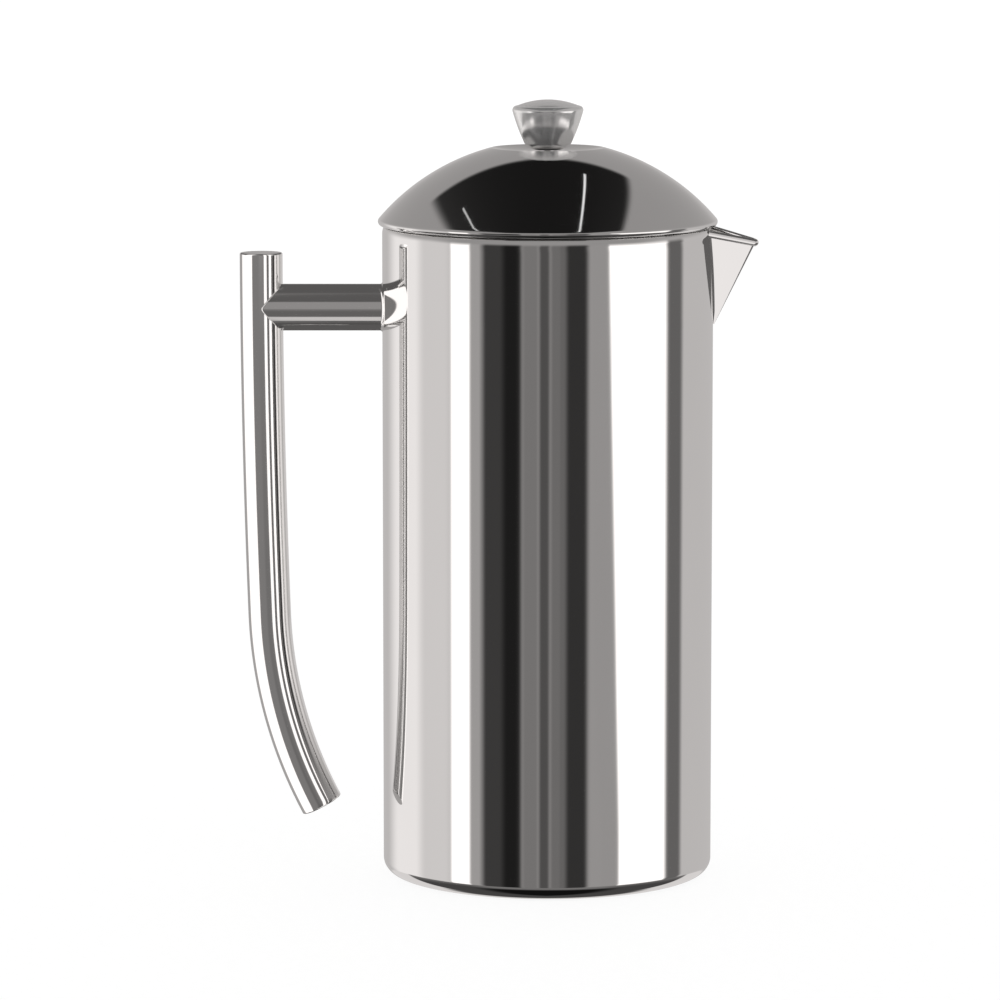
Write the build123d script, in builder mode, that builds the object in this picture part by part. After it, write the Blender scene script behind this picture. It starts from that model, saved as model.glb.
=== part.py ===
from build123d import *
import math
import os

# Double-walled stainless steel French press of about one litre, in millimetres, +Z up.
# The origin is on the pot's axis, in the plane it stands on. The handle is on -X and the
# spout on +X. The plunger is at rest, pressed fully down.

# Pot walls
sheet = 0.7
body_radius = 51.0
chamber_radius = 46.6
rim_top = 201.5
foot_rounding = 4.6
foot_inner_radius = 42.0
foot_lip_height = 3.2
floor_height = 6.2
floor_rounding = 7.0
base_disc_height = 1.8
base_disc_rise = 1.0
base_disc_sheet = 0.8

# Spout: a V-shaped cone, whose point is on the wall, over a smaller V-shaped notch
spout_root = 170.3
spout_ridge_slope = 0.50
spout_nose_slope = 0.084
spout_flank_angle = 33.7
spout_back_slope = 0.14
spout_bottom = 171.2
spout_top = 204.0
spout_inner_rise = 2.4
lip_start = (48.4, 200.4)
lip_tilt = 13.9
lip_wire_radius = 1.15
lip_half_width = 13.1
lip_reach = 17.55
lip_wire_lift = -0.15
lip_nose_radius = 2.4
notch_root = 172.5
notch_slope = 0.36
notch_inner_rise = 2.1

# Handle
arm_radius = 7.2
arm_height = 176.4
arm_wall = 1.2
arm_weld = 0.7
grip_radius = 6.6
grip_wall = 1.2
grip_top = (-88.3, 193.3)
grip_upper_radius = 3070.0
grip_upper_turn = 2.1
grip_lower_radius = 140.0
grip_lower_turn = 25.7
grip_edge = 0.5
plug_depth = 2.0
saddle_gap = 1.0
backing_width = 19.0
backing_height = 22.0
backing_sheet = 0.9

# Lid
lid_sheet = 0.8
crown_height = 225.7
crown_radius = 17.2
dish_height = 224.2
dish_radius = 6.0
dome_radius = 68.25
dome_edge_radius = 52.0
hem_radius = 1.25
skirt_radius = 45.7
skirt_bottom = 186.0
flange_height = 201.75
slot_count = 30
slot_width = 2.4
slot_height = 8.0
slot_middle = 193.5

# Guide bush in the crown of the lid
bush_radius = 4.0
bush_bottom = 212.0
bush_flange_radius = 5.6
bush_flange_sheet = 0.5
bush_nut_width = 12.0
bush_nut_height = 3.4
turning_gap = 0.1
running_gap = 0.05

# Knob and rod
rod_radius = 2.5
rod_tenon_radius = 2.0
knob_bottom = 225.0
knob_neck_radius = 3.4
knob_base_radius = 7.2
knob_base_height = 227.0
knob_edge_radius = 10.9
knob_edge_height = 237.0
knob_cap_radius = 9.6
knob_cap_height = 238.5
knob_top = 240.4
knob_under_curve = -4.8
knob_side_curve = -60.0
knob_edge_curve = -1.3
rod_top = 232.0

# Filter stack, from the nut below it to the hub that the rod screws into
stud_radius = 2.5
stud_bottom = 14.0
filter_nut_bottom = 14.6
filter_nut_width = 9.0
filter_nut_height = 3.4
washer_sheet = 0.9
washer_radius = 5.5
cross_plate_sheet = 1.2
cross_plate_radius = 42.5
prefilter_sheet = 0.4
prefilter_radius = 45.6
fine_screen_sheet = 0.3
fine_screen_radius = 46.35
fine_screen_edge = 5.0
spiral_plate_sheet = 1.0
spiral_plate_radius = 42.3
spiral_plate_edge = 3.8
coil_radius = 1.75
coil_wall = 0.4
hub_radius = 5.0
hub_top = 36.0
tenon_depth = 8.0


def spout_section(height, rise=0.0):
    """One horizontal section of the spout's cone: two flanks that meet at a rounded nose."""
    size = height - rise - spout_root
    nose = spout_nose_slope * size
    nose_centre = body_radius + spout_ridge_slope * size - nose
    back = body_radius - spout_back_slope * size
    sine = math.sin(math.radians(spout_flank_angle))
    cosine = math.cos(math.radians(spout_flank_angle))
    tangent = (nose_centre + nose * sine, nose * cosine)
    back_corner = (back, nose / cosine + (nose_centre - back) * sine / cosine)
    with BuildSketch(Plane.XY.offset(height)) as section:
        with BuildLine():
            Line(back_corner, tangent)
            ThreePointArc(tangent, (nose_centre + nose, 0), (tangent[0], -tangent[1]))
            Line((tangent[0], -tangent[1]), (back_corner[0], -back_corner[1]))
            Line((back_corner[0], -back_corner[1]), back_corner)
        make_face()
    return section.sketch


def notch_section(rise=0.0):
    """The V that is cut through both walls behind the spout, seen along X."""
    root = notch_root + rise
    above = rim_top + rise + 4
    half_width = notch_slope * (above - root)
    with BuildSketch(Plane.YZ.offset(chamber_radius - 5)) as section:
        with BuildLine():
            Polyline((0, root), (half_width, above), (-half_width, above), close=True)
        make_face()
    return section.sketch


def ring_section(inner, outer, bottom, top):
    """A rectangle in the XZ plane that revolves into a plain ring."""
    with BuildSketch(Plane.XZ) as section:
        with BuildLine():
            Polyline((inner, bottom), (outer, bottom), (outer, top), (inner, top), close=True)
        make_face()
    return section.sketch


def hexagon_ring(width, bore, bottom):
    """A hexagon of the given width across flats, with a round bore."""
    with BuildSketch(Plane.XY.offset(bottom)) as section:
        RegularPolygon(radius=width / 2, side_count=6, major_radius=False)
        Circle(bore, mode=Mode.SUBTRACT)
    return section.sketch


def finish(piece, name):
    piece.part.label = name
    export_step(piece.part, "parts/" + name + ".step")


os.makedirs("parts", exist_ok=True)

# ---------------------------------------------------------------- pot

bead_radius = (body_radius - chamber_radius) / 2
bead_centre = (body_radius + chamber_radius) / 2
bead_height = rim_top - bead_radius
notch_depth = 14.0

# Filled outline of the pot near the rim, which trims the spout and its sleeve
with BuildPart() as rim_envelope:
    with BuildSketch(Plane.XZ):
        with BuildLine():
            Polyline(
                (chamber_radius, bead_height),
                (0, bead_height),
                (0, spout_root - 5),
                (body_radius, spout_root - 5),
                (body_radius, bead_height),
            )
            ThreePointArc(
                (body_radius, bead_height), (bead_centre, rim_top), (chamber_radius, bead_height)
            )
        make_face()
    revolve(axis=Axis.Z)

# Outer wall: rolled rim, straight wall, rounded foot and an upturned lip around the base
with BuildPart() as outer_shell:
    with BuildSketch(Plane.XZ):
        with BuildLine():
            ThreePointArc(
                (chamber_radius, bead_height), (bead_centre, rim_top), (body_radius, bead_height)
            )
            Line((body_radius, bead_height), (body_radius, foot_rounding))
            foot_arc = CenterArc(
                (body_radius - foot_rounding, foot_rounding), foot_rounding, 0, -90
            )
            Line(foot_arc @ 1, (foot_inner_radius, 0))
            Line((foot_inner_radius, 0), (foot_inner_radius, foot_lip_height))
            offset(amount=sheet, side=Side.RIGHT)
        make_face()
    revolve(axis=Axis.Z)
    extrude(notch_section(), amount=notch_depth, mode=Mode.SUBTRACT)
finish(outer_shell, "outer_shell")

# Inner wall and floor of the brewing chamber
with BuildPart() as inner_liner:
    with BuildSketch(Plane.XZ):
        with BuildLine():
            Line((chamber_radius, bead_height), (chamber_radius, floor_height + floor_rounding))
            floor_arc = CenterArc(
                (chamber_radius - floor_rounding, floor_height + floor_rounding),
                floor_rounding,
                0,
                -90,
            )
            Line(floor_arc @ 1, (0, floor_height))
            offset(amount=sheet, side=Side.LEFT)
        make_face()
    revolve(axis=Axis.Z)
    extrude(notch_section(), amount=notch_depth, mode=Mode.SUBTRACT)
finish(inner_liner, "inner_liner")

# Dished disc that closes the bottom of the outer wall
with BuildPart() as base_disc:
    with BuildSketch(Plane.XZ):
        with BuildLine():
            Polyline(
                (0, base_disc_height + base_disc_rise),
                (foot_inner_radius * 0.68, base_disc_height + base_disc_rise),
                (foot_inner_radius * 0.72, base_disc_height),
                (foot_inner_radius, base_disc_height),
            )
            offset(amount=base_disc_sheet, side=Side.LEFT)
        make_face()
    revolve(axis=Axis.Z)
finish(base_disc, "base_disc")

# Sleeve that lines the notch and closes the air gap between the walls
with BuildPart() as notch_sleeve:
    extrude(notch_section(), amount=notch_depth)
    extrude(notch_section(notch_inner_rise), amount=notch_depth, mode=Mode.SUBTRACT)
    add(rim_envelope.part, mode=Mode.INTERSECT)
    with BuildSketch(Plane.XY.offset(spout_root)):
        Circle(chamber_radius)
    extrude(amount=rim_top - spout_root, mode=Mode.SUBTRACT)
finish(notch_sleeve, "notch_sleeve")

# Spout, welded to the wall around the notch, with a wired lip
lip_plane = Plane(
    origin=(lip_start[0], 0, lip_start[1]),
    x_dir=(math.cos(math.radians(lip_tilt)), 0, -math.sin(math.radians(lip_tilt))),
    z_dir=(math.sin(math.radians(lip_tilt)), 0, math.cos(math.radians(lip_tilt))),
)
with BuildPart() as spout:
    loft([spout_section(spout_bottom), spout_section(spout_top)], ruled=True)
    loft(
        [
            spout_section(spout_bottom + spout_inner_rise, spout_inner_rise),
            spout_section(spout_top + spout_inner_rise, spout_inner_rise),
        ],
        ruled=True,
        mode=Mode.SUBTRACT,
    )
    split(bisect_by=lip_plane, keep=Keep.BOTTOM)
    with BuildLine(lip_plane.offset(lip_wire_lift)):
        lip_path = FilletPolyline(
            (0, lip_half_width), (lip_reach, 0), (0, -lip_half_width), radius=lip_nose_radius
        )
    with BuildSketch(Plane(origin=lip_path @ 0, z_dir=lip_path % 0)):
        Circle(lip_wire_radius)
    sweep()
    add(rim_envelope.part, mode=Mode.SUBTRACT)
    with BuildSketch(Plane.XY.offset(spout_root)):
        Circle(bead_centre)
    extrude(amount=rim_top - spout_root + 2, mode=Mode.SUBTRACT)
finish(spout, "spout")

# ---------------------------------------------------------------- handle

# Curved tube that the hand holds
with BuildPart() as handle_grip:
    with BuildLine(Plane.XZ) as grip_line:
        upper_bend = JernArc(grip_top, (0, -1), grip_upper_radius, grip_upper_turn)
        lower_bend = JernArc(upper_bend @ 1, upper_bend % 1, grip_lower_radius, grip_lower_turn)
    with BuildSketch(Plane(origin=upper_bend @ 0, z_dir=(0, 0, -1))):
        Circle(grip_radius)
        Circle(grip_radius - grip_wall, mode=Mode.SUBTRACT)
    sweep()
    fillet(handle_grip.edges().group_by(Axis.Z)[-1].sort_by(SortBy.LENGTH)[-1], grip_edge)
finish(handle_grip, "handle_grip")

# Plugs welded into the two ends of the grip
with BuildPart() as grip_top_plug:
    with BuildSketch(Plane(origin=upper_bend @ 0, z_dir=(0, 0, -1))):
        Circle(grip_radius - grip_wall)
    extrude(amount=plug_depth)
finish(grip_top_plug, "grip_top_plug")

with BuildPart() as grip_end_plug:
    with BuildSketch(Plane(origin=lower_bend @ 1, z_dir=(lower_bend % 1) * -1)):
        Circle(grip_radius - grip_wall)
    extrude(amount=plug_depth)
finish(grip_end_plug, "grip_end_plug")

# Straight tube from the wall to the grip, coped round the grip, with a weld at the wall
arm_end = grip_top[0] + saddle_gap
arm_plane = Plane(origin=(arm_end, 0, arm_height), x_dir=(0, 1, 0), z_dir=(1, 0, 0))
arm_length = -body_radius - arm_end + 2
with BuildPart() as grip_envelope:
    with BuildSketch(Plane(origin=upper_bend @ 0, z_dir=(0, 0, -1))):
        Circle(grip_radius)
    sweep(path=grip_line.line)

with BuildPart() as handle_arm:
    with BuildSketch(arm_plane):
        Circle(arm_radius)
    extrude(amount=arm_length)
    with BuildSketch(Plane.XZ):
        with BuildLine():
            weld_foot = -body_radius
            Line((weld_foot - arm_weld, arm_height), (weld_foot + 2, arm_height))
            Line((weld_foot + 2, arm_height), (weld_foot + 2, arm_height + arm_radius + arm_weld))
            Line(
                (weld_foot + 2, arm_height + arm_radius + arm_weld),
                (weld_foot, arm_height + arm_radius + arm_weld),
            )
            CenterArc(
                (weld_foot - arm_weld, arm_height + arm_radius + arm_weld), arm_weld, 0, -90
            )
            Line((weld_foot - arm_weld, arm_height + arm_radius), (weld_foot - arm_weld, arm_height))
        make_face()
    revolve(axis=Axis((0, 0, arm_height), (1, 0, 0)))
    with BuildSketch(arm_plane):
        Circle(arm_radius - arm_wall)
    extrude(amount=arm_length, mode=Mode.SUBTRACT)
    with BuildSketch(Plane.XY.offset(arm_height - 2 * arm_radius)):
        Circle(body_radius)
    extrude(amount=4 * arm_radius, mode=Mode.SUBTRACT)
    add(grip_envelope.part, mode=Mode.SUBTRACT)
finish(handle_arm, "handle_arm")

# Curved plate behind the outer wall that spreads the arm's load
with BuildPart() as arm_backing_plate:
    with BuildSketch(Plane.XY.offset(arm_height - backing_height)):
        Circle(body_radius - sheet)
        Circle(body_radius - sheet - backing_sheet, mode=Mode.SUBTRACT)
    extrude(amount=2 * backing_height)
    with BuildSketch(Plane(origin=(0, 0, arm_height), x_dir=(0, 1, 0), z_dir=(-1, 0, 0))):
        RectangleRounded(backing_width, backing_height, 3)
    extrude(amount=body_radius, mode=Mode.INTERSECT)
finish(arm_backing_plate, "arm_backing_plate")

# ---------------------------------------------------------------- lid

crown_angle = math.degrees(math.asin(crown_radius / dome_radius))
edge_angle = math.degrees(math.asin(dome_edge_radius / dome_radius))
crown_slope = math.radians(-crown_angle)
dome_hole = bush_radius + running_gap
dish_depth = crown_height - dish_height

# Dome: dished crown, spherical shoulder and a hem curled under the edge
dish_curve = ((crown_radius - dish_radius) ** 2 + dish_depth**2) / (2 * dish_depth)
with BuildPart() as lid_dome:
    with BuildSketch(Plane.XZ):
        with BuildLine():
            Line((dome_hole, dish_height), (dish_radius, dish_height))
            RadiusArc((dish_radius, dish_height), (crown_radius, crown_height), -dish_curve)
            shoulder = JernArc(
                (crown_radius, crown_height),
                (math.cos(crown_slope), math.sin(crown_slope)),
                dome_radius,
                crown_angle - edge_angle,
            )
            hem = JernArc(shoulder @ 1, shoulder % 1, hem_radius, edge_angle - 180)
            offset(amount=lid_sheet, side=Side.RIGHT)
        make_face()
    revolve(axis=Axis.Z)
finish(lid_dome, "lid_dome")

# Skirt that stands in the mouth of the pot, with pouring slots
skirt_inner_radius = skirt_radius - sheet
with BuildPart() as lid_skirt:
    revolve(
        ring_section(skirt_inner_radius, skirt_radius, skirt_bottom, flange_height), axis=Axis.Z
    )
    for slot in range(slot_count // 2):
        turn = 360 / slot_count * (slot + 0.5)
        slot_plane = Plane(
            origin=(0, 0, slot_middle),
            x_dir=(0, 0, 1),
            z_dir=(math.cos(math.radians(turn)), math.sin(math.radians(turn)), 0),
        )
        with BuildSketch(slot_plane):
            SlotOverall(slot_height, slot_width)
        extrude(amount=skirt_radius + 2, both=True, mode=Mode.SUBTRACT)
finish(lid_skirt, "lid_skirt")

# Flange under the dome, welded on the skirt, that rests on the rim of the pot
with BuildPart() as lid_flange:
    revolve(
        ring_section(skirt_inner_radius, (hem @ 1).X, flange_height, flange_height + sheet),
        axis=Axis.Z,
    )
finish(lid_flange, "lid_flange")

# ---------------------------------------------------------------- guide bush

bush_top = dish_height + turning_gap
bore = rod_radius + running_gap
with BuildPart() as guide_bush:
    revolve(ring_section(bore, bush_radius, bush_bottom, bush_top), axis=Axis.Z)
    revolve(
        ring_section(bore, bush_flange_radius, bush_top, bush_top + bush_flange_sheet),
        axis=Axis.Z,
    )
finish(guide_bush, "guide_bush")

bush_nut_top = dish_height - lid_sheet - turning_gap
with BuildPart() as bush_nut:
    extrude(
        hexagon_ring(bush_nut_width, bush_radius, bush_nut_top - bush_nut_height),
        amount=bush_nut_height,
    )
finish(bush_nut, "bush_nut")

# ---------------------------------------------------------------- knob and rod

# Knob: flared body and a shallow spherical cap, screwed on the top of the rod
cap_rise = knob_top - knob_cap_height
cap_sphere_radius = (knob_cap_radius**2 + cap_rise**2) / (2 * cap_rise)
with BuildPart() as knob:
    with BuildSketch(Plane.XZ):
        with BuildLine():
            Line((rod_radius, knob_bottom), (knob_neck_radius, knob_bottom))
            RadiusArc(
                (knob_neck_radius, knob_bottom), (knob_base_radius, knob_base_height), knob_under_curve
            )
            RadiusArc(
                (knob_base_radius, knob_base_height), (knob_edge_radius, knob_edge_height), knob_side_curve
            )
            RadiusArc(
                (knob_edge_radius, knob_edge_height), (knob_cap_radius, knob_cap_height), knob_edge_curve
            )
            RadiusArc((knob_cap_radius, knob_cap_height), (0, knob_top), -cap_sphere_radius)
            Polyline((0, knob_top), (0, rod_top), (rod_radius, rod_top), (rod_radius, knob_bottom))
        make_face()
    revolve(axis=Axis.Z)
finish(knob, "knob")

tenon_top = hub_top + 0.2
with BuildPart() as plunger_rod:
    with BuildSketch(Plane.XY.offset(tenon_top)):
        Circle(rod_radius)
    extrude(amount=rod_top - tenon_top)
    with BuildSketch(Plane.XY.offset(tenon_top)):
        Circle(rod_tenon_radius)
    extrude(amount=-tenon_depth)
finish(plunger_rod, "plunger_rod")

# ---------------------------------------------------------------- filter

washer_bottom = filter_nut_bottom + filter_nut_height
cross_plate_bottom = washer_bottom + washer_sheet
prefilter_bottom = cross_plate_bottom + cross_plate_sheet
fine_screen_bottom = prefilter_bottom + prefilter_sheet
spiral_plate_bottom = fine_screen_bottom + fine_screen_sheet
hub_bottom = spiral_plate_bottom + spiral_plate_sheet
stud_hole = stud_radius + running_gap

# Hub: a boss that takes the rod's threaded end, and a stud that carries the stack
with BuildPart() as filter_hub:
    with BuildSketch(Plane.XY.offset(hub_bottom)):
        Circle(hub_radius)
    extrude(amount=hub_top - hub_bottom)
    chamfer(filter_hub.faces().sort_by(Axis.Z)[-1].edges(), 0.6)
    with BuildSketch(Plane.XY.offset(stud_bottom)):
        Circle(stud_radius)
    extrude(amount=hub_bottom - stud_bottom)
    with BuildSketch(Plane.XY.offset(hub_top)):
        Circle(rod_tenon_radius + running_gap)
    extrude(amount=-tenon_depth - 0.4, mode=Mode.SUBTRACT)
finish(filter_hub, "filter_hub")

with BuildPart() as filter_nut:
    extrude(
        hexagon_ring(filter_nut_width, stud_radius, filter_nut_bottom), amount=filter_nut_height
    )
finish(filter_nut, "filter_nut")

with BuildPart() as lock_washer:
    revolve(
        ring_section(stud_hole, washer_radius, washer_bottom, cross_plate_bottom), axis=Axis.Z
    )
finish(lock_washer, "lock_washer")

# Cross plate: the stiff lower plate, with two rings of large holes
with BuildPart() as cross_plate:
    with BuildSketch(Plane.XY.offset(cross_plate_bottom)):
        Circle(cross_plate_radius)
        Circle(stud_hole, mode=Mode.SUBTRACT)
        with PolarLocations(cross_plate_radius * 0.38, 6):
            Circle(6, mode=Mode.SUBTRACT)
        with PolarLocations(cross_plate_radius * 0.76, 14):
            Circle(6, mode=Mode.SUBTRACT)
    extrude(amount=cross_plate_sheet)
finish(cross_plate, "cross_plate")

with BuildPart() as prefilter_screen:
    revolve(
        ring_section(stud_hole, prefilter_radius, prefilter_bottom, fine_screen_bottom),
        axis=Axis.Z,
    )
finish(prefilter_screen, "prefilter_screen")

# Fine screen: a disc of mesh whose edge turns up round the coil
with BuildPart() as fine_screen:
    revolve(
        ring_section(stud_hole, fine_screen_radius, fine_screen_bottom, spiral_plate_bottom),
        axis=Axis.Z,
    )
    revolve(
        ring_section(
            fine_screen_radius - fine_screen_sheet,
            fine_screen_radius,
            spiral_plate_bottom,
            spiral_plate_bottom + fine_screen_edge,
        ),
        axis=Axis.Z,
    )
finish(fine_screen, "fine_screen")

# Spiral plate: perforated upper plate with an upturned edge that carries the coil
with BuildPart() as spiral_plate:
    with BuildSketch(Plane.XY.offset(spiral_plate_bottom)):
        Circle(spiral_plate_radius)
        Circle(stud_hole, mode=Mode.SUBTRACT)
        for ring in range(1, 5):
            with PolarLocations(4 + 8 * ring, 8 * ring):
                Circle(1.9, mode=Mode.SUBTRACT)
    extrude(amount=spiral_plate_sheet)
    revolve(
        ring_section(
            spiral_plate_radius - spiral_plate_sheet,
            spiral_plate_radius,
            hub_bottom,
            hub_bottom + spiral_plate_edge,
        ),
        axis=Axis.Z,
    )
finish(spiral_plate, "spiral_plate")

# Outer shape of the ring-shaped coil spring that presses the fine screen to the wall
coil_ring_radius = (spiral_plate_radius + fine_screen_radius - fine_screen_sheet) / 2
coil_height = spiral_plate_bottom + coil_radius + running_gap
coil_plane = Plane(origin=(coil_ring_radius, 0, coil_height), x_dir=(1, 0, 0), z_dir=(0, -1, 0))
with BuildPart() as spring_coil:
    with BuildSketch(coil_plane):
        Circle(coil_radius)
        Circle(coil_radius - coil_wall, mode=Mode.SUBTRACT)
    revolve(axis=Axis.Z)
finish(spring_coil, "spring_coil")
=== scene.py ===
import math

import bmesh
import bpy
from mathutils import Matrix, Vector


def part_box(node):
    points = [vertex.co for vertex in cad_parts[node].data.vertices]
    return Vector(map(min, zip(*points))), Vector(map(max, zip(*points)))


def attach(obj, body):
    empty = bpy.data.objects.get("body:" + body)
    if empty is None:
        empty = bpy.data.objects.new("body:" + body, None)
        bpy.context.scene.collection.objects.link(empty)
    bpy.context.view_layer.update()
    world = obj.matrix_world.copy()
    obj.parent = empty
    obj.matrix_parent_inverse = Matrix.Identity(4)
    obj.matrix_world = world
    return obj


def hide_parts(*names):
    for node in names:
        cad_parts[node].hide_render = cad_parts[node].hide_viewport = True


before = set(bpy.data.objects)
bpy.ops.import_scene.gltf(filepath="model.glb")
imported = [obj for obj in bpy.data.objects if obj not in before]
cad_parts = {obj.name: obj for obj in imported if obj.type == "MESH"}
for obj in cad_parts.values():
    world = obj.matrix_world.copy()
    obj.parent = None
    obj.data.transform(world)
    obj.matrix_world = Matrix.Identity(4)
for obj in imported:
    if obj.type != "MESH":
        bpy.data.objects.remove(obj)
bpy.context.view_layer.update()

# Looks of the steel French press. Metres, +Z up, origin on the pot's axis at the base plane,
# handle on -X and spout on +X. The camera looks along +Y.

MM = 0.001
SEGMENTS = 384
SHARP_ANGLE = math.radians(32)

shell_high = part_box("outer_shell")[1]
liner_low, liner_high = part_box("inner_liner")
dome_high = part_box("lid_dome")[1]
skirt_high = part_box("lid_skirt")[1]
knob_low, knob_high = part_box("knob")
grip_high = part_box("handle_grip")[1]
arm_low, arm_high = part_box("handle_arm")
rod_low, rod_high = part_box("plunger_rod")
bush_low, bush_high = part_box("guide_bush")
coil_low, coil_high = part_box("spring_coil")
flange_low, flange_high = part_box("lid_flange")

SHEET = 0.7 * MM
BODY_RADIUS = shell_high.y
RIM_TOP = shell_high.z
CHAMBER_RADIUS = liner_high.y - SHEET
BEAD_HEIGHT = RIM_TOP - (BODY_RADIUS - CHAMBER_RADIUS) / 2
RIM_CURVE = 5.9 * MM
RIM_LEAN = 19.8
RIM_EDGE = 0.6 * MM
FOOT_ROUNDING = 4.6 * MM
FOOT_LIP_RADIUS = 42.0 * MM
FOOT_LIP_HEIGHT = 3.2 * MM
FLOOR_ROUNDING = 7.0 * MM
FLOOR_HEIGHT = liner_low.z + SHEET
NOTCH_ROOT = 172.5 * MM
NOTCH_SLOPE = 0.36


# ---------------------------------------------------------------- mesh helpers


def soft_step(edge, width, value):
    share = min(1.0, max(0.0, (value - edge) / width + 0.5))
    return share * share * (3 - 2 * share)


def mix(first, second, share):
    return first + (second - first) * share


def arc(centre, radius, start, end, count):
    """Points of an arc in the (radius, height) half-plane, angles in degrees from outward."""
    points = []
    for step in range(count + 1):
        angle = math.radians(start + (end - start) * step / count)
        points.append((centre[0] + radius * math.cos(angle), centre[1] + radius * math.sin(angle)))
    return points


def run(start, end, count):
    """Evenly spaced points of a straight run, both ends included."""
    points = []
    for step in range(count + 1):
        share = step / count
        points.append((start[0] + (end[0] - start[0]) * share, start[1] + (end[1] - start[1]) * share))
    return points


def rounded(corners, radii, count=6):
    """A closed outline through corners, each rounded by its radius."""
    outline = []
    total = len(corners)
    for index in range(total):
        corner = Vector(corners[index])
        to_last = (Vector(corners[index - 1]) - corner).normalized()
        to_next = (Vector(corners[(index + 1) % total]) - corner).normalized()
        radius = radii[index]
        half = to_last.angle(to_next) / 2
        if radius == 0 or abs(half - math.pi / 2) < 1e-4:
            outline.append(tuple(corner))
            continue
        reach = radius / math.tan(half)
        centre = corner + (to_last + to_next).normalized() * (radius / math.sin(half))
        first = corner + to_last * reach - centre
        last = corner + to_next * reach - centre
        sweep = first.angle_signed(last)
        for step in range(count + 1):
            turn = -sweep * step / count
            outline.append((
                centre.x + first.x * math.cos(turn) - first.y * math.sin(turn),
                centre.y + first.x * math.sin(turn) + first.y * math.cos(turn),
            ))
    return outline


def mesh_object(name, bm, keep_flat=False):
    """Turns bm into a smooth-shaded object, with sharp edges where faces meet at an angle."""
    bmesh.ops.remove_doubles(bm, verts=bm.verts, dist=1e-7)
    bmesh.ops.recalc_face_normals(bm, faces=bm.faces)
    mesh = bpy.data.meshes.new(name)
    bm.to_mesh(mesh)
    bm.free()
    for polygon in mesh.polygons:
        polygon.use_smooth = not keep_flat
    mesh.set_sharp_from_angle(angle=SHARP_ANGLE)
    made = bpy.data.objects.new(name, mesh)
    bpy.context.scene.collection.objects.link(made)
    weighted = made.modifiers.new("face_weighted_normals", "WEIGHTED_NORMAL")
    weighted.keep_sharp = True
    return made


def grid(bm, rows, close_rows=False, close_columns=False):
    """Quads between rows of points. Rows all have the same number of points."""
    made = [[bm.verts.new(point) for point in row] for row in rows]
    row_count = len(made) if close_rows else len(made) - 1
    for i in range(row_count):
        first = made[i]
        second = made[(i + 1) % len(made)]
        column_count = len(first) if close_columns else len(first) - 1
        for j in range(column_count):
            k = (j + 1) % len(first)
            corners = [first[j], first[k], second[k], second[j]]
            distinct = []
            for corner in corners:
                if all((corner.co - other.co).length > 1e-8 for other in distinct):
                    distinct.append(corner)
            if len(distinct) > 2:
                bm.faces.new(distinct)
    return made


def ring_of(radius, height, segments=SEGMENTS):
    """One level circle of points round the pot's axis."""
    points = []
    for step in range(segments):
        angle = 2 * math.pi * step / segments
        points.append((radius * math.cos(angle), radius * math.sin(angle), height))
    return points


def lathe(name, outline, closed=True, segments=SEGMENTS):
    """Revolves an outline of (radius, height) points about the pot's axis."""
    bm = bmesh.new()
    grid(bm, [ring_of(r, z, segments) for r, z in outline], close_rows=closed, close_columns=True)
    return mesh_object(name, bm)


def notch_half_angle(radius, height):
    """How far the spout's notch reaches to each side of +X at that radius and height."""
    half_width = max(0.0, NOTCH_SLOPE * (height - NOTCH_ROOT))
    return math.asin(min(1.0, half_width / radius))


def notched_lathe(name, outside, inside):
    """A revolved sheet between two paired outlines, with the spout's V cut out of it."""
    bm = bmesh.new()
    layers = []
    for outline in (outside, inside):
        rows = []
        for radius, height in outline:
            open_angle = notch_half_angle(max(radius, 1e-6), height)
            row = []
            for step in range(SEGMENTS + 1):
                angle = open_angle + (2 * math.pi - 2 * open_angle) * step / SEGMENTS
                row.append((radius * math.cos(angle), radius * math.sin(angle), height))
            rows.append(row)
        layers.append(rows)
        grid(bm, rows)
    for end in (0, -1):
        if outside[end][0] > 1e-6:
            grid(bm, [layers[0][end], layers[1][end]])
    for side in (0, -1):
        edge = [(rows[side], inner[side]) for rows, inner in zip(layers[0], layers[1])]
        open_edge = [
            pair for pair, (radius, height) in zip(edge, outside) if height >= NOTCH_ROOT - 1e-9
        ]
        grid(bm, [[pair[0] for pair in open_edge], [pair[1] for pair in open_edge]])
    return mesh_object(name, bm)


# ---------------------------------------------------------------- materials


def material(name, base_color, metallic, roughness):
    """A Principled material with its nodes, links and shader, ready for detail nodes."""
    made = bpy.data.materials.new(name)
    made.use_nodes = True
    nodes = made.node_tree.nodes
    shader = nodes["Principled BSDF"]
    shader.inputs["Base Color"].default_value = (*base_color, 1)
    shader.inputs["Metallic"].default_value = metallic
    shader.inputs["Roughness"].default_value = roughness
    return made, nodes, made.node_tree.links, shader


def stretched_noise(nodes, links, scale, stretch=(1, 1, 1), detail=4):
    """Noise in object space. stretch is how many times finer it is along each axis."""
    coordinates = nodes.new("ShaderNodeTexCoord")
    mapping = nodes.new("ShaderNodeMapping")
    mapping.inputs["Scale"].default_value = stretch
    texture = nodes.new("ShaderNodeTexNoise")
    texture.inputs["Scale"].default_value = scale
    texture.inputs["Detail"].default_value = detail
    links.new(coordinates.outputs["Object"], mapping.inputs["Vector"])
    links.new(mapping.outputs["Vector"], texture.inputs["Vector"])
    return texture.outputs["Fac"]


def blended(nodes, links, factor, low, high):
    """A colour that goes from low to high as factor goes from 0.3 to 0.7."""
    ramp = nodes.new("ShaderNodeValToRGB")
    ramp.color_ramp.elements[0].position = 0.3
    ramp.color_ramp.elements[0].color = (*low, 1)
    ramp.color_ramp.elements[1].position = 0.7
    ramp.color_ramp.elements[1].color = (*high, 1)
    links.new(factor, ramp.inputs["Fac"])
    return ramp.outputs["Color"]


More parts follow.
